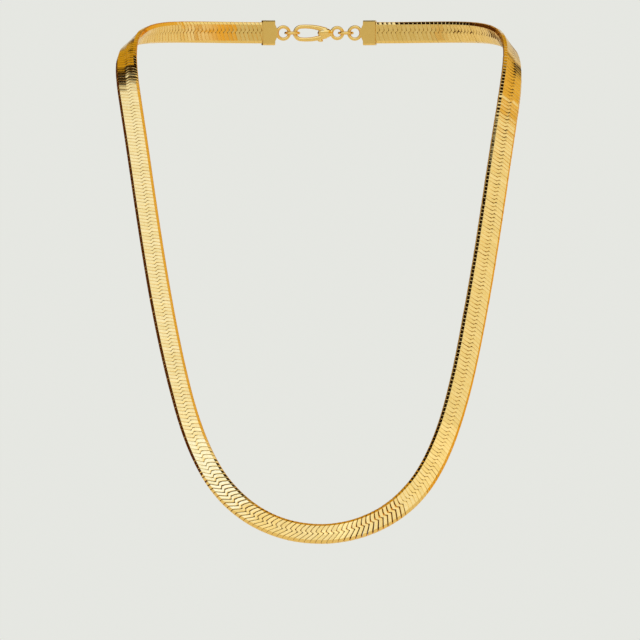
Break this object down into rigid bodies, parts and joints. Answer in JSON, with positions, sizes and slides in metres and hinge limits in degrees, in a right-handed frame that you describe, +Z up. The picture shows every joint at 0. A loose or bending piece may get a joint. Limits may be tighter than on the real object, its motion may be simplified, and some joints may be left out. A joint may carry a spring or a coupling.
{
  "type": "herringbone chain",
  "caption": "Flat woven herringbone neck chain hanging in a broad U, closed at the nape by flat end caps, jump rings and a claw clasp.",
  "frame": {"origin": "middle of the nape, where the chain hangs on the wearer's neck, between the two ends of the band", "axes": "+X across to the wearer's left, +Z up, and the front of the U towards -Y"},
  "size_m": [0.0972, 0.1301, 0.124],
  "materials": {
    "polished_gold": "mirror-polished yellow gold, flat leaf-shaped links with bevelled edges",
    "gold_fittings": "smooth polished yellow gold"
  },
  "bodies": {
    "root": {"herringbone_band": "polished_gold", "end_cap_left": "gold_fittings", "end_cap_right": "gold_fittings", "jump_ring_left": "gold_fittings", "jump_ring_right": "gold_fittings", "clasp": "gold_fittings"}
  },
  "joints": []
}
